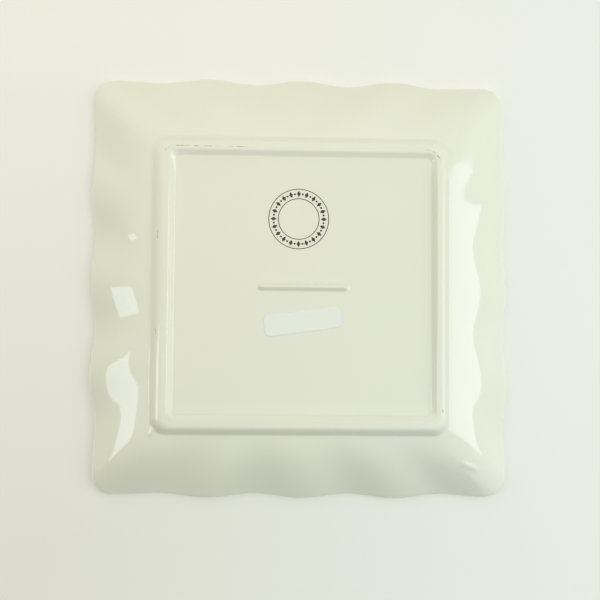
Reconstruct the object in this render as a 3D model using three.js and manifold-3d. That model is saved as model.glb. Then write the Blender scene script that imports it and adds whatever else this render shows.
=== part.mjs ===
// Square salad plate in glazed stoneware, standing on its foot ring. Millimetres, with +Z up.
// The origin is the middle of the foot ring's resting plane. X and Y run along the sides.
import * as THREE from "three";
import { mergeVertices } from "three/addons/utils/BufferGeometryUtils.js";
import Module from "manifold-3d";

// Overall form
const plateSide = 210; // across the rim, from lobe to lobe
const plateHeight = 20; // from the table to the highest points of the rim
const wallThickness = 4.2; // body under the well
const lipThickness = 3.8; // full round edge of the rim
const rimCornerRadius = 12; // plan radius of the plate's corners
const rimWidth = 30.8; // from the foot's outer root to the edge
const rimRootAngle = 7; // degrees, slope of the rim where it leaves the foot
const rimEdgeAngle = 32; // degrees, slope of the rim at its edge

// Scallops in the edge, carried inwards as flutes
const scallopsPerSide = 4; // whole waves from corner to corner
const scallopDepth = 2; // plan depth of a dip behind the lobes
const fluteDepth = 2.2; // how far a lobe sinks towards the table
const cornerSwell = -0.2; // how far the corners stand out, from -1 in a dip to 1 on a lobe

// Well on the eating side
const wellOverlap = 1.5; // how far the flat floor stops inside the foot's centre line
const wellCornerRadius = 8;

// Foot ring
const footHeight = 2.6; // recess of the panel inside the ring
const footRootRise = 1; // outer root of the foot above that panel
const footInnerWall = 3.4; // plan width of the slope towards the panel
const footCrestWidth = 1.8; // flat that stands on the table
const footOuterWall = 5.8; // plan width of the slope towards the rim
const panelCornerRadius = 3; // inner root
const footCornerRadius = 5; // middle of the crest
const footRootRadius = 8; // outer root

// Rib across the middle of the panel, which keeps the floor from sagging in the kiln
const ribLength = 46;
const ribWidth = 4.4;
const ribHeight = 1.7;
const ribShift = 1.3; // to the right of the middle
const ribDrop = 1; // from the middle towards the label

// Printed mark, between the rib and the foot
const markDiameter = 30;
const markBand = 4; // width of its ring
const markThickness = 0.06;
const markGap = 16.5; // from the rib's side to the ring
const markShift = -1.2; // to the left of the middle

// Paper sticker, on the other side of the rib
const labelLength = 38;
const labelWidth = 10.5;
const labelCornerRadius = 2.5;
const labelThickness = 0.15;
const labelGap = 9.6; // from the rib's side to the label's near edge
const labelShift = 1; // to the right of the middle
const labelTurn = -8; // degrees, put on by hand

// Facets
const waveSteps = 8; // for each scallop
const cornerSteps = 5;
const footWallSteps = 5;
const rimSteps = 7;
const lipSteps = 6;
const wellSteps = 7;
const arcSteps = 48;

const rimHalf = plateSide / 2;
const rootHalf = rimHalf - rimWidth;
const footHalf = rootHalf - footOuterWall - footCrestWidth / 2;
const panelHalf = footHalf - footCrestWidth / 2 - footInnerWall;
const wellHalf = footHalf - wellOverlap;
const wellHeight = footHeight + wallThickness;
const lipRadius = lipThickness / 2;
const rootAngle = THREE.MathUtils.degToRad(rimRootAngle);
const edgeAngle = THREE.MathUtils.degToRad(rimEdgeAngle);
const edgeSlope = Math.tan(edgeAngle);

const wasm = await Module();
wasm.setup();

const glaze = new THREE.MeshStandardMaterial({ color: "#dfe1ce", roughness: 0.12, metalness: 0 });
const ink = new THREE.MeshStandardMaterial({ color: "#23241c", roughness: 0.2, metalness: 0 });
const paper = new THREE.MeshStandardMaterial({ color: "#e6e4d4", roughness: 0.8, metalness: 0 });

// A station of the section is (half-size, height, corner radius) of one rounded square around the plate,
// with the slope of the section there as its fourth number.
const station = (half, height, radius, slope = 0) => new THREE.Vector4(half, height, radius, slope);

// The edge's corners are concentric, so the lip keeps its thickness round them.
const edgeCorner = (half) => rimCornerRadius - (rimHalf - half);

// Smooth run from one station to the next, leaving and arriving at the given slopes.
function blend(from, to, slopeOut, slopeIn, reach) {
  const run = Math.abs(to.x - from.x) * reach;
  const way = Math.sign(to.x - from.x);
  const third = (to.z - from.z) / 3;
  const leave = station(from.x + way * run, from.y + way * run * Math.tan(slopeOut), from.z + third);
  const arrive = station(to.x - way * run, to.y - way * run * Math.tan(slopeIn), to.z - third);
  return new THREE.CubicBezierCurve3(from, leave, arrive, to);
}

// Stations along a curve, without its first point.
function along(curve, steps) {
  const stations = [];
  for (let i = 1; i <= steps; i++) {
    const { x, y, z } = curve.getPoint(i / steps);
    const way = curve.getTangent(i / steps);
    stations.push(station(x, y, z, way.y / way.x));
  }
  return stations;
}

// Section of the body: out along the underside, round the lip and back in over the eating face.
// It is drawn through a lobe before the lobe sinks, so it rises past the plate's height, by what a dip loses
// when it is cut back along the slope.
function plateSection() {
  const crown = plateHeight + scallopDepth * edgeSlope;
  const lipMiddle = new THREE.Vector2(rimHalf - lipRadius, crown - lipRadius);
  const quarter = Math.PI / 2;
  const lipArc = new THREE.EllipseCurve(
    lipMiddle.x,
    lipMiddle.y,
    lipRadius,
    lipRadius,
    edgeAngle - quarter,
    edgeAngle + quarter,
  );
  const lip = lipArc.getPoints(lipSteps).map((p) => station(p.x, p.y, edgeCorner(p.x), edgeSlope));
  const panelEdge = station(panelHalf, footHeight, panelCornerRadius);
  const crestInner = station(footHalf - footCrestWidth / 2, 0, footCornerRadius);
  const crestOuter = station(footHalf + footCrestWidth / 2, 0, footCornerRadius + footCrestWidth / 2);
  const root = station(rootHalf, footHeight + footRootRise, footRootRadius);
  const wellEdge = station(wellHalf, wellHeight, wellCornerRadius);
  const footReach = 0.5;
  const rimReach = 0.35;
  return [
    panelEdge,
    ...along(blend(panelEdge, crestInner, 0, 0, footReach), footWallSteps),
    crestOuter,
    ...along(blend(crestOuter, root, 0, rootAngle, footReach), footWallSteps),
    ...along(blend(root, lip[0], rootAngle, edgeAngle, rimReach), rimSteps),
    ...lip.slice(1),
    ...along(blend(lip[lipSteps], wellEdge, edgeAngle, 0, rimReach), wellSteps),
  ];
}

// Wave along a side, with s from -1 to 1 between the corners: 1 on a lobe and -1 in a dip.
// The last half wave before a corner climbs only to the corner's own swell.
function scallopWave(s) {
  const lastDip = 1 - 1 / scallopsPerSide;
  if (Math.abs(s) <= lastDip) return Math.cos(Math.PI * scallopsPerSide * (s + 1));
  const climb = (Math.abs(s) - lastDip) / (1 - lastDip);
  return -1 + ((1 + cornerSwell) * (1 - Math.cos(Math.PI * climb))) / 2;
}

// One rounded square around the plate. Flutes grow from the foot's outer root to their full depth at the lip:
// a dip is cut back along the rim's slope, and a lobe sinks towards the table.
function contour({ x: half, y: height, z: radius, w: slope }) {
  const grown = THREE.MathUtils.smoothstep(half, rootHalf, rimHalf - lipThickness);
  const straight = half - radius;
  const sideSteps = scallopsPerSide * waveSteps;
  const side = [];
  for (let i = 0; i < sideSteps; i++) {
    const s = -1 + (2 * i) / sideSteps;
    side.push({ wave: scallopWave(s), x: straight, y: s * straight, turn: 0 });
  }
  for (let i = 0; i < cornerSteps; i++) {
    const turn = (i / cornerSteps) * (Math.PI / 2);
    side.push({ wave: cornerSwell, x: straight, y: straight, turn });
  }
  const fluted = side.map(({ wave, x, y, turn }) => {
    const inset = (scallopDepth * grown * (1 - wave)) / 2;
    const sunk = (fluteDepth * grown * (1 + wave)) / 2;
    const reach = radius - inset;
    return new THREE.Vector3(
      x + reach * Math.cos(turn),
      y + reach * Math.sin(turn),
      height - slope * inset - sunk,
    );
  });
  const up = new THREE.Vector3(0, 0, 1);
  return [0, 1, 2, 3].flatMap((k) => fluted.map((p) => p.clone().applyAxisAngle(up, (k * Math.PI) / 2)));
}

// Skin over the contours in turn, closed by a fan in the middle of the underside and of the well.
function loft(section) {
  const rings = section.map(contour);
  const count = rings[0].length;
  const points = rings.flat();
  const under = points.push(new THREE.Vector3(0, 0, section[0].y)) - 1;
  const over = points.push(new THREE.Vector3(0, 0, section.at(-1).y)) - 1;
  const faces = [];
  for (let i = 0; i < count; i++) {
    const next = (i + 1) % count;
    faces.push(under, next, i);
    for (let r = 0; r < rings.length - 1; r++) {
      const [a, b] = [r * count + i, r * count + next];
      faces.push(a, b, b + count, a, b + count, a + count);
    }
    const last = (rings.length - 1) * count;
    faces.push(over, last + i, last + next);
  }
  return new THREE.BufferGeometry().setFromPoints(points).setIndex(faces);
}

// Low rib with round ends: a capsule along X, half sunk in the panel.
function ribShape() {
  const bar = new THREE.CapsuleGeometry(ribWidth / 2, ribLength - ribWidth, 4, 16);
  bar.rotateZ(Math.PI / 2);
  bar.scale(1, 1, ribHeight / (ribWidth / 2));
  bar.translate(ribShift, ribDrop, footHeight);
  return bar;
}

function solid(geometry) {
  const bare = new THREE.BufferGeometry().setAttribute("position", geometry.getAttribute("position"));
  const merged = mergeVertices(bare.setIndex(geometry.index), 1e-4);
  const vertProperties = merged.getAttribute("position").array;
  const triVerts = new Uint32Array(merged.index.array);
  return new wasm.Manifold(new wasm.Mesh({ numProp: 3, vertProperties, triVerts }));
}

function joined(first, second) {
  const { vertProperties, triVerts } = solid(first).add(solid(second)).getMesh();
  const geometry = new THREE.BufferGeometry();
  geometry.setAttribute("position", new THREE.BufferAttribute(vertProperties, 3));
  geometry.setIndex(new THREE.BufferAttribute(triVerts, 1));
  geometry.computeVertexNormals();
  return geometry;
}

function markShape() {
  const ring = new THREE.Shape().absarc(0, 0, markDiameter / 2, 0, 2 * Math.PI);
  ring.holes.push(new THREE.Path().absarc(0, 0, markDiameter / 2 - markBand, 0, 2 * Math.PI));
  return new THREE.ExtrudeGeometry(ring, {
    depth: markThickness,
    bevelEnabled: false,
    curveSegments: arcSteps,
  });
}

function labelShape() {
  const [x, y, r] = [labelLength / 2, labelWidth / 2, labelCornerRadius];
  const quarter = Math.PI / 2;
  const outline = new THREE.Shape();
  outline.absarc(x - r, y - r, r, 0, quarter);
  outline.absarc(r - x, y - r, r, quarter, 2 * quarter);
  outline.absarc(r - x, r - y, r, 2 * quarter, 3 * quarter);
  outline.absarc(x - r, r - y, r, 3 * quarter, 4 * quarter);
  return new THREE.ExtrudeGeometry(outline, { depth: labelThickness, bevelEnabled: false, curveSegments: 6 });
}

function piece(name, geometry, material) {
  const mesh = new THREE.Mesh(geometry, material);
  mesh.name = name;
  return mesh;
}

const plate = new THREE.Group();

plate.add(piece("plate_body", joined(loft(plateSection()), ribShape()), glaze));

const mark = piece("backstamp_transfer", markShape(), ink);
const markDrop = ribDrop - ribWidth / 2 - markGap - markDiameter / 2;
mark.position.set(markShift, markDrop, footHeight - markThickness);
plate.add(mark);

const label = piece("paper_label", labelShape(), paper);
const labelDrop = ribDrop + ribWidth / 2 + labelGap + labelWidth / 2;
label.position.set(labelShift, labelDrop, footHeight - labelThickness);
label.rotation.z = THREE.MathUtils.degToRad(labelTurn);
plate.add(label);

export default plate;
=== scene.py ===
import math

import bmesh
import bpy
import numpy as np
from mathutils import Matrix, Vector


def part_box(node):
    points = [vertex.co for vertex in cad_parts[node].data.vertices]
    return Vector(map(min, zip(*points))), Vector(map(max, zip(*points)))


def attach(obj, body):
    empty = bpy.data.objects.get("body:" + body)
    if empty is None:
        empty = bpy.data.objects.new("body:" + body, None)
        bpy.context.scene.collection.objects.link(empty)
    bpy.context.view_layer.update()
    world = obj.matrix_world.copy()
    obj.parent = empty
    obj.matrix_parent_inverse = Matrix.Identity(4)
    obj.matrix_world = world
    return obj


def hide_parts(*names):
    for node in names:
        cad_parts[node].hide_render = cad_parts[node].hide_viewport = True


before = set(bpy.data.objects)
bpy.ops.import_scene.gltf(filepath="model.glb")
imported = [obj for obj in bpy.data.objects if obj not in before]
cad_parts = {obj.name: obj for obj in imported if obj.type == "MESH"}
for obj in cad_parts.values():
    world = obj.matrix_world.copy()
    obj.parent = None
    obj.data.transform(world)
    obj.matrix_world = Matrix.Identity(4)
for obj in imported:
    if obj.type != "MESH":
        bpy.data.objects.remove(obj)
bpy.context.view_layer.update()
mm = 0.001
mergeDistance = 1e-7  # metres
scene = bpy.context.scene
scene.view_settings.view_transform = "Standard"


def linearColour(hexCode):
    # sRGB hex to the linear colour that a shader socket takes
    srgb = np.array([int(hexCode[i:i + 2], 16) for i in (1, 3, 5)]) / 255
    linear = np.where(srgb <= 0.04045, srgb / 12.92, ((srgb + 0.055) / 1.055) ** 2.4)
    return (*linear.tolist(), 1.0)


def addNode(tree, kind, settings=None, links=None):
    # one node: settings go to its sockets, by name or number, or to the node itself where no socket fits
    node = tree.nodes.new(kind)
    for key, value in (settings or {}).items():
        if isinstance(key, int) or key in node.inputs:
            node.inputs[key].default_value = value
        else:
            setattr(node, key, value)
    for key, source in (links or {}).items():
        tree.links.new(source, node.inputs[key])
    return node


def newMaterial(name):
    material = bpy.data.materials.new(name)
    material.use_nodes = True
    material.node_tree.nodes.clear()
    return material, material.node_tree


def smoothStep(x, low, high):
    # 0 up to low, 1 from high on, and a cubic with level ends between them
    t = np.clip((x - low) / (high - low), 0, 1)
    return t * t * (3 - 2 * t)


def gridFaces(rows, columns):
    # quads between neighbouring rows of a grid whose columns close on themselves
    row, column = np.meshgrid(np.arange(rows - 1), np.arange(columns), indexing="ij")
    here = row * columns + column
    beside = row * columns + (column + 1) % columns
    return np.stack([here, beside, beside + columns, here + columns], axis=-1).reshape(-1, 4)


def makePiece(name, points, faces, material, attributes=None, smooth=True):
    # mesh from arrays in millimetres; points that fall together, as at a pole or along a ridge, become one
    mesh = bpy.data.meshes.new(name)
    mesh.from_pydata((np.asarray(points) * mm).tolist(), [], [list(map(int, face)) for face in faces])
    for key, values in (attributes or {}).items():
        layer = mesh.attributes.new(key, "FLOAT", "POINT")
        layer.data.foreach_set("value", np.asarray(values, np.float32).ravel())
    work = bmesh.new()
    work.from_mesh(mesh)
    bmesh.ops.remove_doubles(work, verts=work.verts, dist=mergeDistance)
    work.to_mesh(mesh)
    work.free()
    mesh.polygons.foreach_set("use_smooth", np.full(len(mesh.polygons), smooth))
    mesh.materials.append(material)
    piece = bpy.data.objects.new(name, mesh)
    scene.collection.objects.link(piece)
    print("made", name, len(mesh.polygons), "faces")
    return piece


def onPlate(piece, node):
    # the plate is one body, so every piece rides on its root and stands for one node
    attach(piece, "root")
    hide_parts(node)


def roundedColumns(sideSteps, cornerSteps):
    # columns of a rounded square: s runs from -1 to 1 along a side, then turn runs through a quarter circle
    s = np.concatenate([np.linspace(-1, 1, sideSteps, endpoint=False), np.ones(cornerSteps)])
    turn = np.concatenate([np.zeros(sideSteps), np.linspace(0, np.pi / 2, cornerSteps, endpoint=False)])
    side = np.repeat(np.arange(4), sideSteps + cornerSteps)
    return np.tile(s, 4), np.tile(turn, 4), side


def roundedRing(halfX, halfY, radius, inset, columns):
    # rounded rectangle, drawn in by inset along its own normal; half-sizes less the radius are the straights
    s, turn, side = columns
    alongX = (side % 2) == 0
    straightU = np.where(alongX, halfX, halfY) - radius
    straightV = np.where(alongX, halfY, halfX) - radius
    u = straightU + (radius - inset) * np.cos(turn)
    v = straightV * s + (radius - inset) * np.sin(turn)
    angle = side * np.pi / 2
    return u * np.cos(angle) - v * np.sin(angle), u * np.sin(angle) + v * np.cos(angle)


# Glaze; corners are top left, top right, bottom left and bottom right in the picture

glaze = {
    "corners": ("#E1E1CD", "#DEE2D0", "#D4D7C5", "#D9DFCF"),  # painted light and shade: lighter at the top, darker towards the bottom left
    "fade": 75,                   # mm, from the middle to those corners
    "warm": "#DCDDC9",
    "warmDepth": 0.5,             # how much of the warm tint the patches take
    "warmRange": (0.35, 0.65),    # noise values between which they come in
    "thin": "#E1E4D2",
    "stain": "#9A8F66",
    "stainRange": (0.28, 0.52),
    "patchSize": 45,              # mm, slow drift of the tint
    "rippleSize": 9,              # mm, ripple left by dipping and the kiln
    "rippleDepth": 1,             # mm
    "rippleStrength": 0.04,
    "stainSize": 1.5,             # mm, length of the dark breaks along the foot
    "roughness": 0.06,
    "dulling": 0.3,               # added to the roughness where the foot is scuffed
}


def cornerTint(tree, place, fade, topLeft, topRight, bottomLeft, bottomRight):
    # a tint that drifts between four corners: across along the top and the bottom, then down between the two
    split = addNode(tree, "ShaderNodeSeparateXYZ", links={0: place})
    across, down = (addNode(tree, "ShaderNodeMapRange", {"From Min": -fade * mm, "From Max": fade * mm},
                            {"Value": split.outputs[axis]}).outputs[0] for axis in (0, 1))
    upper, lower = (addNode(tree, "ShaderNodeMix",
                            {"data_type": "RGBA", 6: linearColour(left), 7: linearColour(right)},
                            {0: across}).outputs[2]
                    for left, right in ((topLeft, topRight), (bottomLeft, bottomRight)))
    drifting = addNode(tree, "ShaderNodeMix", {"data_type": "RGBA"}, {0: down, 6: upper, 7: lower})
    return drifting.outputs[2]


def glazedStoneware():
    # Stoneware under a clear cream glaze, dipped and fired: a deep gloss over a soft body colour that drifts
    # a little from place to place, with painted light and shade over it, lighter at the top and darker to
    # the bottom left. The glaze is thinner and paler round the lip, with a painted highlight along the left
    # lip, and the foot's inner wall is painted lighter where it faces the light along the left and bottom
    # sides.
    # It is soiled where the foot is rubbed, and duller where it is scuffed.
    material, tree = newMaterial("glazedStoneware")
    place = addNode(tree, "ShaderNodeTexCoord").outputs["Object"]
    # painted light and shade: the ground colour runs lighter at the top and darker to the bottom left
    paintedLightGround = cornerTint(tree, place, glaze["fade"], *glaze["corners"])
    patches = addNode(tree, "ShaderNodeTexNoise", {"Scale": 1000 / glaze["patchSize"], "Detail": 2.0},
                      {"Vector": place})
    warmth = addNode(tree, "ShaderNodeMapRange",
                     {"From Min": glaze["warmRange"][0], "From Max": glaze["warmRange"][1],
                      "To Max": glaze["warmDepth"]},
                     {"Value": patches.outputs[0]})
    body = addNode(tree, "ShaderNodeMix", {"data_type": "RGBA", 7: linearColour(glaze["warm"])},
                   {0: warmth.outputs[0], 6: paintedLightGround})
    thinning = addNode(tree, "ShaderNodeAttribute", {"attribute_name": "thinning"})
    coated = addNode(tree, "ShaderNodeMix", {"data_type": "RGBA", 7: linearColour(glaze["thin"])},
                     {0: thinning.outputs["Fac"], 6: body.outputs[2]})
    wear = addNode(tree, "ShaderNodeAttribute", {"attribute_name": "wear"})
    breaks = addNode(tree, "ShaderNodeTexNoise", {"Scale": 1000 / glaze["stainSize"], "Detail": 3.0},
                     {"Vector": place})
    soiled = addNode(tree, "ShaderNodeMath", {"operation": "MULTIPLY"},
                     {0: wear.outputs["Fac"], 1: breaks.outputs[0]})
    spots = addNode(tree, "ShaderNodeMapRange",
                    {"From Min": glaze["stainRange"][0], "From Max": glaze["stainRange"][1]},
                    {"Value": soiled.outputs[0]})
    stained = addNode(tree, "ShaderNodeMix", {"data_type": "RGBA", 7: linearColour(glaze["stain"])},
                      {0: spots.outputs[0], 6: coated.outputs[2]})
    ripple = addNode(tree, "ShaderNodeTexNoise", {"Scale": 1000 / glaze["rippleSize"], "Detail": 1.0},
                     {"Vector": place})
    relief = addNode(tree, "ShaderNodeBump",
                     {"Strength": glaze["rippleStrength"], "Distance": glaze["rippleDepth"] * mm},
                     {"Height": ripple.outputs[0]})
    scuffed = addNode(tree, "ShaderNodeAttribute", {"attribute_name": "dulled"})
    gloss = addNode(tree, "ShaderNodeMath",
                    {"operation": "MULTIPLY_ADD", 1: glaze["dulling"], 2: glaze["roughness"]},
                    {0: scuffed.outputs["Fac"]})
    shader = addNode(tree, "ShaderNodeBsdfPrincipled", {"IOR": 1.6},
                     {"Base Color": stained.outputs[2], "Roughness": gloss.outputs[0],
                      "Normal": relief.outputs[0]})
    addNode(tree, "ShaderNodeOutputMaterial", links={"Surface": shader.outputs[0]})
    return material


# Plate body, millimetres; lists by side go right, bottom, left and top, each with the corner after it

plateLow, plateHigh = (np.array(corner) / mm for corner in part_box("plate_body"))
plate = {
    "half": (plateHigh[0] - plateLow[0]) / 2,
    "height": plateHigh[2],
    "wall": 4.2,
    "lip": 3.8,
    "cornerRadius": 12,
    "rimWidth": 30.8,
    "rootAngle": 7,              # degrees, slope of the rim at the foot
    "edgeAngle": 32,             # degrees, slope of the rim at its edge
    "rimReach": (0.35, 0.35),    # how long the rim keeps each of those slopes
    "scallops": 4,               # waves along a side
    # each side strayed a little from true in the kiln, and the depths are those at its start and its end
    "scallopDepths": ((1.8, 1.8), (2.2, 2.2), (3.2, 0.6), (1.9, 2.6)),  # in plan, of a dip behind the lobes
    "fluteDepths": ((1.6, 1.4), (2.3, 2.6), (3.0, 1.4), (2.4, 3.0)),    # how far a lobe sinks below the dips
    "edgeInsets": ((0, 0), (0, 0), (1.1, 0.6), (0, 0)),                 # how far the whole edge is drawn in
    "waveShifts": (1.6, -1.9, 2.3, 1.1),                                # of the lobes along the side
    "cornerSwells": (0.33, -0.2, -0.3, -0.6),                           # 1 stands out as a lobe, -1 as a dip
    "wellOverlap": 1.5,
    "wellCornerRadius": 8,
    "footHeight": 2.6,
    "footRootRise": 1.0,
    "footInnerWall": 3.4,
    "footCrest": 1.8,
    "footOuterWall": 5.8,
    "innerReach": (0.22, 0.22),
    "crestReach": (0.33, 0.33),
    "outerReach": (0.6, 0.3),
    "panelCornerRadius": 2,
    "footCornerRadius": 5,
    "footRootRadius": 8,
    "footStray": (1.2, 0.2),     # of the foot and the panel, from the middle of the rim
    "sideBand": (49, 65),        # distances from the middle between which one side of the foot comes in
    "crestLoss": 0.6,            # the top side slumped: a lower crest,
    "panelRise": 0.6,            # a panel pushed down to meet it
    "wallShift": -0.4,           # and an inner wall that moved out
    "edgeSpread": 0.7,           # the crest is this much wider along the bottom side
    "ribMiddle": (1.3, 0.9),
    "ribLength": 46,
    "ribWidth": 5,
    "ribHeight": 1.25,
    "glazeRuns": (               # thick spots that catch the light: from, to, height and spread
        ((-83.8, -25.6), (-83.7, -25.6), 0.42, 2.5),
        ((-72.1, 73.4), (-71.7, 71.6), 0.6, 0.8),
        ((82.0, 87.7), (88.0, 89.9), 0.55, 0.8),
    ),
    "lipThinningAndHighlight": (0.5, 1.0),   # how pale the lip is: thinner glaze all round, and a painted highlight along the left edge
    "lipHighlightBand": (60, 95),         # distances from the middle between which the painted highlight comes in to the left
    "wallPaintedLight": 1.0,         # painted light on the foot's inner wall along the left and bottom sides, where it faces the light
    "rubWidth": 0.3,             # how far a rub mark spreads
    "rubs": (                    # from and to, on the foot, and how strong
        ((-62.1, -68.1), (-55.3, -68.2), 1.0),
        ((-53.3, -68.0), (-50.9, -68.0), 1.0),
        ((-49.4, -68.1), (-40.1, -68.2), 0.85),
        ((-37.7, -68.1), (-25.5, -67.9), 0.8),
        ((-35.2, -66.3), (-28.9, -66.2), 0.8),
        ((-67.6, -65.6), (-65.4, -67.4), 0.9),
        ((61.7, -68.0), (65.9, -67.0), 0.85),
        ((65.9, -67.0), (68.9, -63.5), 1.0),
        ((68.9, -63.5), (69.2, -61.2), 0.85),
        ((-70.4, -26.0), (-70.4, -21.0), 0.9),
        ((-71.2, 21.0), (-70.4, 26.0), 0.9),
        ((70.1, 61.0), (70.1, 61.6), 2.0),
    ),
    "columns": (108, 16),        # along a side and round a corner
    "innerSteps": 16,
    "crestSteps": 8,
    "outerSteps": 28,
    "underSteps": 40,
    "lipSteps": 18,
    "overSteps": 26,
    "ribShare": 0.085,           # of the way from the rib's ridge to the panel's edge, for the fine rows
    "ribRows": 20,
    "panelSteps": 8,
    "wellSteps": 6,
}


def blendRun(start, end, slopeOut, slopeIn, reach, steps):
    # cubic Bezier from one station to the next, leaving and arriving at the given slopes; reach is how long
    # it keeps each slope, and the first point is left out
    t = np.linspace(0, 1, steps + 1)[1:, None]
    runOut, runIn = (end[0] - start[0]) * np.array(reach)
    third = (end[2] - start[2]) / 3
    leave = start + np.array([runOut, runOut * math.tan(slopeOut), third])
    arrive = end - np.array([runIn, runIn * math.tan(slopeIn), third])
    return (1 - t) ** 3 * start + 3 * t * (1 - t) ** 2 * leave + 3 * t * t * (1 - t) * arrive + t ** 3 * end


def plateSection(p):
    # Stations (half-size, height, corner radius, slope) out along the underside, round the lip and in over
    # the face. The lip starts higher than the plate by what a dip loses when it is cut back along the slope.
    half = p["half"]
    lipRadius = p["lip"] / 2
    root = math.radians(p["rootAngle"])
    edge = math.radians(p["edgeAngle"])
    crown = p["height"] + np.mean(p["scallopDepths"]) * math.tan(edge)
    rootHalf = half - p["rimWidth"]
    footHalf = rootHalf - p["footOuterWall"] - p["footCrest"] / 2
    panelHalf = footHalf - p["footCrest"] / 2 - p["footInnerWall"]
    turn = np.linspace(edge - np.pi / 2, edge + np.pi / 2, p["lipSteps"] + 1)
    lipHalf = half - lipRadius + lipRadius * np.cos(turn)
    lipHeight = crown - lipRadius + lipRadius * np.sin(turn)
    lip = np.stack([lipHalf, lipHeight, p["cornerRadius"] - (half - lipHalf)], axis=1)
    panelEdge = np.array([panelHalf, p["footHeight"], p["panelCornerRadius"]])
    crestIn = np.array([footHalf - p["footCrest"] / 2, 0, p["footCornerRadius"]])
    crestOut = np.array([footHalf + p["footCrest"] / 2, 0, p["footCornerRadius"] + p["footCrest"] / 2])
    footRoot = np.array([rootHalf, p["footHeight"] + p["footRootRise"], p["footRootRadius"]])
    wellEdge = np.array([footHalf - p["wellOverlap"], p["footHeight"] + p["wall"], p["wellCornerRadius"]])
    foot = np.concatenate([
        panelEdge[None],
        blendRun(panelEdge, crestIn, 0, 0, p["innerReach"], p["innerSteps"]),
        blendRun(crestIn, crestOut, 0, 0, p["crestReach"], p["crestSteps"]),
        blendRun(crestOut, footRoot, 0, root, p["outerReach"], p["outerSteps"]),
    ])
    under = blendRun(footRoot, lip[0], root, edge, p["rimReach"], p["underSteps"])
    over = blendRun(lip[-1], wellEdge, edge, 0, p["rimReach"], p["overSteps"])
    slopes = [np.zeros(len(foot)), np.gradient(under[:, 1], under[:, 0]),
              np.full(len(lip) - 1, math.tan(edge)), np.gradient(over[:, 1], over[:, 0])]
    stations = np.concatenate([foot, under, lip[1:], over])
    parts = np.repeat(["foot", "under", "lip", "over"], [len(slope) for slope in slopes])
    return np.column_stack([stations, np.concatenate(slopes)]), parts


def scallopWave(columns, p):
    # cosine from lobe to lobe along a side, 1 on a lobe and -1 in a dip; the last half wave climbs to the
    # corner's swell, and the shift along the side dies away at the corners
    s, _, side = columns
    s = s - np.array(p["waveShifts"])[side] / p["half"] * (1 - s ** 4)
    swells = np.array(p["cornerSwells"])
    swell = np.where(s > 0, swells[side], swells[side - 1])
    lastDip = 1 - 1 / p["scallops"]
    climb = np.clip((np.abs(s) - lastDip) / (1 - lastDip), 0, 1)
    last = -1 + (1 + swell) * (1 - np.cos(np.pi * climb)) / 2
    return np.where(np.abs(s) <= lastDip, np.cos(np.pi * p["scallops"] * (s + 1)), last)


def sideValues(pairs, columns):
    # straight from the first to the last value along each side, then a smooth step to the next side's first
    s, turn, side = columns
    pairs = np.array(pairs)
    first, last = pairs[side, 0], pairs[side, 1]
    onward = pairs[(side + 1) % 4, 0] - last
    return first + (last - first) * (1 + s) / 2 + onward * smoothStep(turn, 0, np.pi / 2)


def nearSegment(x, y, start, end):
    # distance from every point to a straight mark
    along = np.subtract(end, start)
    share = np.clip(((x - start[0]) * along[0] + (y - start[1]) * along[1]) / (along @ along), 0, 1)
    return np.hypot(x - start[0] - share * along[0], y - start[1] - share * along[1])


def panelSurface(p, edgeX, edgeY, panelHalf):
    # The panel is ruled from the rib's ridge line to its edge, and is lower on the side that slumped. The
    # rib is a raised cosine of the distance to the ridge line.
    ridge = (p["ribLength"] - p["ribWidth"]) / 2
    ribX, ribY = p["ribMiddle"]
    near = np.linspace(0, p["ribShare"], p["ribRows"])
    far = np.linspace(p["ribShare"], 1, p["panelSteps"] + 1)[1:-1]
    share = np.concatenate([near, far])[:, None]
    ridgeX = ribX + np.clip(edgeX / panelHalf, -1, 1) * ridge
    x = ridgeX + share * (edgeX - ridgeX)
    y = ribY + share * (edgeY - ribY)
    away = nearSegment(x, y, (ribX - ridge, ribY), (ribX + ridge, ribY))
    rib = (1 + np.cos(np.pi * np.clip(away / (p["ribWidth"] / 2), 0, 1))) / 2
    z = p["footHeight"] - p["ribHeight"] * rib - p["panelRise"] * smoothStep(-y, *p["sideBand"])
    return x, y, z


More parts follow.
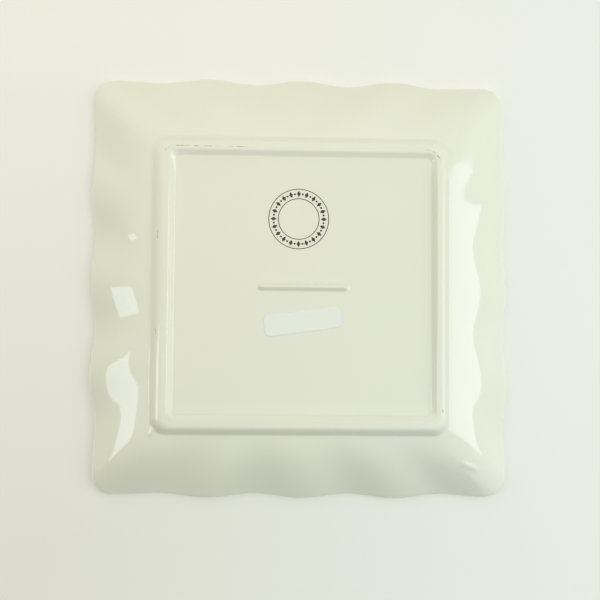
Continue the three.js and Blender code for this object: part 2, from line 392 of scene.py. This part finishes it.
def plateSurface(p):
    # Rounded squares carried along the section. The scallops grow from the foot to the edge: a dip is cut
    # back along the rim's slope, a lobe sinks below the dips, and the whole edge is drawn in. Then the foot
    # strays and slumps, and the runs of glaze are bell curves of the distance to a line. The well is ruled
    # to its middle.
    columns = roundedColumns(*p["columns"])
    section, parts = plateSection(p)
    half, height, radius, slope = (section[:, i:i + 1] for i in range(4))
    foot = (parts == "foot")[:, None]
    rootHalf = p["half"] - p["rimWidth"]
    crestHalf = rootHalf - p["footOuterWall"]
    grown = smoothStep(half, rootHalf, p["half"] - p["lip"])
    wave = scallopWave(columns, p)[None]
    scallop = sideValues(p["scallopDepths"], columns)
    flute = sideValues(p["fluteDepths"], columns)
    inset = grown * (sideValues(p["edgeInsets"], columns) + scallop * (1 - wave) / 2)
    x, y = roundedRing(half, half, radius, inset, columns)
    z = height - slope * inset - flute * grown * (1 + wave) / 2

    strayed = foot * (1 - smoothStep(half, crestHalf, rootHalf))
    x = x + p["footStray"][0] * strayed
    y = y + p["footStray"][1] * strayed
    inner = np.clip((crestHalf - half) / p["footCrest"], 0, 1)  # 0 outside the crest, 1 inside it
    outer = foot * (1 - inner) * np.clip((rootHalf - half) / p["footOuterWall"], 0, 1)
    up = np.clip(height / np.where(inner > 0, p["footHeight"], p["footHeight"] + p["footRootRise"]), 0, 1)
    slump = foot * smoothStep(-y, *p["sideBand"])
    z = z + slump * (p["crestLoss"] * (1 - up) - p["panelRise"] * up * inner)
    y = y + slump * p["wallShift"] * inner
    runs = [rise * np.exp(-(nearSegment(x, y, start, end) / spread) ** 2 / 2)
            for start, end, rise, spread in p["glazeRuns"]]
    z = z - np.sum(runs, axis=0) * np.isin(parts, ("foot", "under"))[:, None]
    y = y + p["edgeSpread"] * outer * smoothStep(y, *p["sideBand"])

    panel = panelSurface(p, x[0], y[0], section[0, 0])
    inward = np.linspace(1, 0, p["wellSteps"] + 1)[1:, None]
    well = inward * x[-1], inward * y[-1], np.full((p["wellSteps"], x.shape[1]), z[-1, 0])
    grid = np.stack([np.concatenate(rows) for rows in zip(panel, (x, y, z), well)], axis=-1)

    # how pale the glaze is: thinner round the lip, with a painted highlight along the left lip and painted
    # light on the inner walls that face the light, most so halfway up the wall; how rubbed and how scuffed,
    # for the material
    thinning, wear, dulled = np.zeros((3, *grid.shape[:2]))
    body = slice(len(panel[0]), len(panel[0]) + len(section))
    paintedLightSides = np.maximum(smoothStep(-x, *p["sideBand"]), smoothStep(y, *p["sideBand"]))
    # painted light: the inner walls along the left and bottom sides, which face the light, are painted paler
    thinning[body] = p["wallPaintedLight"] * paintedLightSides * foot * inner * 4 * up * (1 - up)
    lip = parts == "lip"
    thin, thinnest = p["lipThinningAndHighlight"]
    # the left lip is painted paler as a painted highlight, on top of the thinner glaze round the whole lip
    thinning[body][lip] = thin + (thinnest - thin) * smoothStep(-x[lip], *p["lipHighlightBand"])
    rubbed = [strength * np.exp(-(nearSegment(x, y, start, end) / p["rubWidth"]) ** 2)
              for start, end, strength in p["rubs"]]
    wear[body] = foot * np.max(rubbed, axis=0)
    dulled[body] = outer * smoothStep(x, *p["sideBand"])
    return grid, {"thinning": thinning, "wear": wear, "dulled": dulled}


plateGrid, plateLayers = plateSurface(plate)
plateBody = makePiece("glazedPlate", plateGrid.reshape(-1, 3), gridFaces(*plateGrid.shape[:2]),
                      glazedStoneware(), plateLayers)
onPlate(plateBody, "plate_body")


# Printed mark, millimetres

markLow, markHigh = (np.array(corner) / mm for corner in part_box("backstamp_transfer"))
mark = {
    "middle": (markLow + markHigh) / 2,
    "radius": (markHigh[0] - markLow[0]) / 2,
    "face": markLow[2],
    "back": markHigh[2],
    "lozenges": 20,
    "lozengeLength": 3.0,
    "lozengeWidth": 1.9,
    "dotRadius": 0.5,
    "dotCorners": 12,
    "line": 0.35,
    "circleSteps": 120,
    "gap": 0.7,                  # between a circle and the lozenges
    "ink": "#1F201A",
    "grain": "#33342B",
    "grainSize": 0.5,            # coarser than real ink, so that it shows
}


def firedInk():
    # Ceramic ink fired under the clear glaze: near black with a trace of olive, and as glossy as the plate.
    material, tree = newMaterial("firedInk")
    place = addNode(tree, "ShaderNodeTexCoord").outputs["Object"]
    grain = addNode(tree, "ShaderNodeTexNoise", {"Scale": 1000 / mark["grainSize"], "Detail": 2.0},
                    {"Vector": place})
    colour = addNode(tree, "ShaderNodeMix",
                     {"data_type": "RGBA", 6: linearColour(mark["ink"]), 7: linearColour(mark["grain"])},
                     {0: grain.outputs[0]})
    shader = addNode(tree, "ShaderNodeBsdfPrincipled", {"Roughness": 0.12, "IOR": 1.5},
                     {"Base Color": colour.outputs[2]})
    addNode(tree, "ShaderNodeOutputMaterial", links={"Surface": shader.outputs[0]})
    return material


def wheel(outline, radius, count, phase):
    # copies of an outline at a radius, turned round the middle in equal steps; phase is a share of a step
    angle = (np.arange(count) + phase) * 2 * np.pi / count
    x = outline[None, :, 0] + radius
    y = outline[None, :, 1]
    cos = np.cos(angle)[:, None]
    sin = np.sin(angle)[:, None]
    return np.dstack([x * cos - y * sin, x * sin + y * cos])


def circle(radius, line, steps):
    # hairline as short quads between two circles
    angle = np.linspace(0, 2 * np.pi, steps + 1)
    ring = np.stack([np.cos(angle), np.sin(angle)], axis=1)
    inner = ring * (radius - line)
    outer = ring * radius
    return np.stack([inner[:-1], outer[:-1], outer[1:], inner[1:]], axis=1)


def prisms(outlines, low, high):
    # flat outlines, each with the same number of corners, given a thickness between two heights
    count, corners = outlines.shape[:2]
    under = np.dstack([outlines, np.full((count, corners), low)])
    over = np.dstack([outlines, np.full((count, corners), high)])
    points = np.concatenate([under.reshape(-1, 3), over.reshape(-1, 3)])
    index = np.arange(count * corners).reshape(count, corners)
    after = np.roll(index, -1, axis=1)
    lift = count * corners
    walls = np.stack([index, after, after + lift, index + lift], axis=-1).reshape(-1, 4)
    return points, [*index[:, ::-1], *(index + lift), *walls]


def markSurface(m):
    # a wheel of lozenges and dots between two hairline circles
    lozenge = np.array([[-m["lozengeLength"], 0], [0, -m["lozengeWidth"]], [m["lozengeLength"], 0],
                        [0, m["lozengeWidth"]]]) / 2
    dotAngle = np.linspace(0, 2 * np.pi, m["dotCorners"], endpoint=False)
    dot = m["dotRadius"] * np.stack([np.cos(dotAngle), np.sin(dotAngle)], axis=1)
    midway = m["radius"] - m["line"] - m["gap"] - m["lozengeLength"] / 2
    innerRadius = midway - m["lozengeLength"] / 2 - m["gap"]
    groups = [
        wheel(lozenge, midway, m["lozenges"], 0),
        wheel(dot, midway, m["lozenges"], 0.5),
        circle(m["radius"], m["line"], m["circleSteps"]),
        circle(innerRadius, m["line"], m["circleSteps"]),
    ]
    points = []
    faces = []
    base = 0
    for outlines in groups:
        made, quads = prisms(outlines + m["middle"][:2], m["face"], m["back"])
        points.append(made)
        faces += [face + base for face in quads]
        base += len(made)
    return np.concatenate(points), faces


markPoints, markFaces = markSurface(mark)
printedMark = makePiece("printedMark", markPoints, markFaces, firedInk(), smooth=False)
onPlate(printedMark, "backstamp_transfer")


# Paper label, millimetres

labelLow, labelHigh = (np.array(corner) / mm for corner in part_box("paper_label"))
label = {
    "middle": (labelLow + labelHigh) / 2,
    "face": labelLow[2],
    "thickness": labelHigh[2] - labelLow[2],
    "length": 38,
    "width": 10.5,
    "cornerRadius": 2.5,
    "turn": -8,                  # degrees
    "rows": ((2.4, 0), (1.2, 0), (0.5, 0), (0.06, 0), (0, 0.04),   # how far each row is drawn in, and
             (0, 0.11), (0.06, 0.15), (1.2, 0.15), (2.4, 0.15)),   # its height, scaled to the thickness
    "columns": (24, 10),         # along a side and round a corner
    "paper": "#E2E7DD",
    "shade": "#DADFD3",
    "fibre": 0.6,                # coarser than real fibres, so that it shows
    "fibreDepth": 0.1,
    "fibreStrength": 0.15,
}


def labelPaper():
    # Plain white sticker paper with a faint calendered sheen; fibres mottle it a little.
    material, tree = newMaterial("labelPaper")
    place = addNode(tree, "ShaderNodeTexCoord").outputs["Object"]
    fibre = addNode(tree, "ShaderNodeTexNoise", {"Scale": 1000 / label["fibre"], "Detail": 4.0},
                    {"Vector": place})
    colour = addNode(tree, "ShaderNodeMix",
                     {"data_type": "RGBA", 6: linearColour(label["paper"]), 7: linearColour(label["shade"])},
                     {0: fibre.outputs[0]})
    relief = addNode(tree, "ShaderNodeBump",
                     {"Strength": label["fibreStrength"], "Distance": label["fibreDepth"] * mm},
                     {"Height": fibre.outputs[0]})
    shader = addNode(tree, "ShaderNodeBsdfPrincipled", {"Roughness": 0.55, "IOR": 1.45},
                     {"Base Color": colour.outputs[2], "Normal": relief.outputs[0]})
    addNode(tree, "ShaderNodeOutputMaterial", links={"Surface": shader.outputs[0]})
    return material


def labelSurface(p):
    # rounded rectangles drawn in towards a spine on both faces, turned to the angle it was stuck on at
    columns = roundedColumns(*p["columns"])
    inset, lift = np.array(p["rows"]).T[:, :, None]
    x, y = roundedRing(p["length"] / 2, p["width"] / 2, p["cornerRadius"], inset, columns)
    spine = (p["length"] - p["width"]) / 2
    spineX = np.clip(x[:1], -spine, spine)
    spineY = np.zeros_like(spineX)
    x = np.concatenate([spineX, x, spineX])
    y = np.concatenate([spineY, y, spineY])
    lift = np.concatenate([lift[:1], lift, lift[-1:]]) * np.ones_like(x)
    z = p["face"] + lift / lift.max() * p["thickness"]
    turn = math.radians(p["turn"])
    return np.stack([x * math.cos(turn) - y * math.sin(turn) + p["middle"][0],
                     x * math.sin(turn) + y * math.cos(turn) + p["middle"][1], z], axis=-1)


labelGrid = labelSurface(label)
paperLabel = makePiece("plainLabel", labelGrid.reshape(-1, 3), gridFaces(*labelGrid.shape[:2]), labelPaper())
onPlate(paperLabel, "paper_label")


# Stage: a table top against the rim, seen only from the foot's side, and a floor under the foot, seen only
# from above

stage = {
    # the table's corner tints are painted light and shade, lighter at the top and darker towards the bottom
    # left
    "tableShadingCorners": ("#EDEBDE", "#E9EBE3", "#DADACF", "#E4E8E0"),
    "fade": 130,                 # mm, from the middle to those corners
    "glow": 0.4,                 # share of the table's tint that the camera sees unshaded
    "floorColour": "#ECEBE2",
    "hole": 95,                  # mm, half-size of the opening that the plate covers
    "reach": 4000,               # mm
    "gap": 0.05,                 # mm, between a sheet and the plate
}


def paleSheet(name, glow, corners):
    # Matt laminate, pale and nearly white, with a tint that drifts from corner to corner: on the table that
    # is painted light and shade, darker to the bottom left, and the floor is even. Its back is clear, and
    # the camera sees a share of its tint unshaded, so that the shadow on it stays light.
    material, tree = newMaterial(name)
    place = addNode(tree, "ShaderNodeTexCoord").outputs["Object"]
    colour = cornerTint(tree, place, stage["fade"], *corners)
    matt = addNode(tree, "ShaderNodeBsdfPrincipled", {"Roughness": 0.6}, {"Base Color": colour})
    bare = addNode(tree, "ShaderNodeEmission", {"Strength": 1.0}, {"Color": colour})
    eyeRay = addNode(tree, "ShaderNodeLightPath").outputs["Is Camera Ray"]
    share = addNode(tree, "ShaderNodeMath", {"operation": "MULTIPLY", 1: glow}, {0: eyeRay})
    lit = addNode(tree, "ShaderNodeMixShader",
                  links={0: share.outputs[0], 1: matt.outputs[0], 2: bare.outputs[0]})
    clear = addNode(tree, "ShaderNodeBsdfTransparent")
    facing = addNode(tree, "ShaderNodeNewGeometry").outputs["Backfacing"]
    sheet = addNode(tree, "ShaderNodeMixShader", links={0: facing, 1: lit.outputs[0], 2: clear.outputs[0]})
    addNode(tree, "ShaderNodeOutputMaterial", links={"Surface": sheet.outputs[0]})
    return material


def squareSheet(name, hole, height, material, facesUp):
    # four quads between an inner and an outer square
    corner = np.array([[-1, -1], [1, -1], [1, 1], [-1, 1]])
    points = np.array([[*(c * size), height] for size in (hole, stage["reach"]) for c in corner])
    faces = np.array([[k, (k + 1) % 4, (k + 1) % 4 + 4, k + 4] for k in range(4)])
    sheet = makePiece(name, points, faces[:, ::-1] if facesUp else faces, material)
    return sheet


table = squareSheet("tableTop", stage["hole"], plate["height"] + stage["gap"],
                    paleSheet("paleTable", stage["glow"], stage["tableShadingCorners"]), False)
table.visible_shadow = False
floor = squareSheet("floor", 0, -stage["gap"], paleSheet("paleFloor", 0, [stage["floorColour"]] * 4), True)
for kind in ("diffuse", "glossy", "transmission", "volume_scatter", "shadow"):
    setattr(floor, "visible_" + kind, False)


# Light, metres: azimuth from +X towards +Y, elevation down from the foot's plane, to light the underside

lamps = {
    "rightSoftbox": {
        "azimuth": -0.2,
        "elevation": 48.6,
        "distance": 0.917,
        "size": (0.416, 0.755),
        "radiance": 2.5,
        "colour": "#E5F0FF",
    },
    "leftWindow": {
        "azimuth": 170.5,
        "elevation": 40.1,
        "distance": 1.021,
        "size": (0.29, 0.42),
        "radiance": 3.0,
        "colour": "#E0F2FF",
    },
    "faceSoftbox": {
        "azimuth": -52,
        "elevation": -55,
        "distance": 1.2,
        "size": (0.8, 0.8),
        "radiance": 2.4,
        "colour": "#FFFFFF",
    },
}
room = {
    "level": 0.69,
    "lean": (0.24, -0.51, 0.0),    # brighter on the right and at the top of the picture
    "spread": (0.48, -0.6, 0.56),  # brighter left, right and straight below than at the top and bottom
    "skew": 1.15,                  # brighter along one diagonal than the other
    "least": 0.06,
    "warmSide": "#F3ECE1",         # on the left and at the top
    "coolSide": "#E9EBE7",         # on the right and at the bottom
    "coolWay": (0.85, 0.5, 0.0),
    "seen": "#ECEBE2",
}


def addLamp(name, lamp):
    # rectangle that faces the plate
    data = bpy.data.lights.new(name, "AREA")
    data.shape = "RECTANGLE"
    data.size, data.size_y = lamp["size"]
    data.color = linearColour(lamp["colour"])[:3]
    data.energy = lamp["radiance"] * math.pi * data.size * data.size_y
    azimuth = math.radians(lamp["azimuth"])
    elevation = math.radians(lamp["elevation"])
    towards = Vector((math.cos(elevation) * math.cos(azimuth), math.cos(elevation) * math.sin(azimuth),
                      -math.sin(elevation)))
    holder = bpy.data.objects.new(name, data)
    holder.location = towards * lamp["distance"]
    holder.rotation_euler = towards.to_track_quat("Z", "Y").to_euler()
    scene.collection.objects.link(holder)


def paleRoom(r):
    # The light from a direction is the level, plus the direction along the lean, plus the squares of its x,
    # y and z by the spread, plus its x times its y by the skew, and never less than the least. Its tint goes
    # from warm to cool along one way, and the camera sees a plain pale colour.
    world = bpy.data.worlds.new("paleRoom")
    world.use_nodes = True
    tree = world.node_tree
    tree.nodes.clear()
    way = addNode(tree, "ShaderNodeTexCoord").outputs["Generated"]
    stretched = addNode(tree, "ShaderNodeVectorMath", {"operation": "MULTIPLY", 1: r["spread"]}, {0: way})
    split = addNode(tree, "ShaderNodeSeparateXYZ", links={0: way})
    swapped = addNode(tree, "ShaderNodeCombineXYZ", links={0: split.outputs[1]})
    skewed = addNode(tree, "ShaderNodeVectorMath", {"operation": "MULTIPLY_ADD", 1: (r["skew"],) * 3},
                     {0: swapped.outputs[0], 2: stretched.outputs[0]})
    leaning = addNode(tree, "ShaderNodeVectorMath", {"operation": "ADD", 1: r["lean"]},
                      {0: skewed.outputs[0]})
    pull = addNode(tree, "ShaderNodeVectorMath", {"operation": "DOT_PRODUCT"},
                   {0: way, 1: leaning.outputs[0]})
    bright = addNode(tree, "ShaderNodeMath", {"operation": "ADD", 1: r["level"]}, {0: pull.outputs["Value"]})
    level = addNode(tree, "ShaderNodeMath", {"operation": "MAXIMUM", 1: r["least"]}, {0: bright.outputs[0]})
    coolness = addNode(tree, "ShaderNodeVectorMath", {"operation": "DOT_PRODUCT", 1: r["coolWay"]}, {0: way})
    across = addNode(tree, "ShaderNodeMapRange", {"From Min": -1.0, "From Max": 1.0},
                     {"Value": coolness.outputs["Value"]})
    tint = addNode(tree, "ShaderNodeMix",
                   {"data_type": "RGBA", 6: linearColour(r["warmSide"]), 7: linearColour(r["coolSide"])},
                   {0: across.outputs[0]})
    light = addNode(tree, "ShaderNodeBackground",
                    links={"Color": tint.outputs[2], "Strength": level.outputs[0]})
    seen = addNode(tree, "ShaderNodeBackground", {"Color": linearColour(r["seen"]), "Strength": 1.0})
    eyeRay = addNode(tree, "ShaderNodeLightPath").outputs["Is Camera Ray"]
    both = addNode(tree, "ShaderNodeMixShader", links={0: eyeRay, 1: light.outputs[0], 2: seen.outputs[0]})
    addNode(tree, "ShaderNodeOutputWorld", links={"Surface": both.outputs[0]})
    return world


for lampName, lampSettings in lamps.items():
    addLamp(lampName, lampSettings)
scene.world = paleRoom(room)
print("lit by", len(lamps), "lamps and the room")


# Camera, under the foot and looking up at it, so that the picture shows the underside

view = {
    "eye": (-32.4, 52.3, -640.4),  # mm
    "target": (-0.4, 7.6, 0),      # mm
    "roll": -0.43,                 # degrees
    "lens": 78.7,                  # mm
    "sensor": 36,                  # mm
    "nearest": 10,                 # mm
}
eye = Vector(view["eye"]) * mm
forward = (Vector(view["target"]) * mm - eye).normalized()
sideways = forward.cross(Vector((0, -1, 0))).normalized()
rolled = Matrix.Rotation(math.radians(view["roll"]), 3, forward)
axes = Matrix((rolled @ sideways, rolled @ sideways.cross(forward), -forward)).transposed()
camera = bpy.data.objects.new("camera", bpy.data.cameras.new("camera"))
camera.data.lens = view["lens"]
camera.data.sensor_width = view["sensor"]
camera.data.clip_start = view["nearest"] * mm
camera.matrix_world = Matrix.Translation(eye) @ axes.to_4x4()
scene.collection.objects.link(camera)
scene.camera = camera
print("camera set")
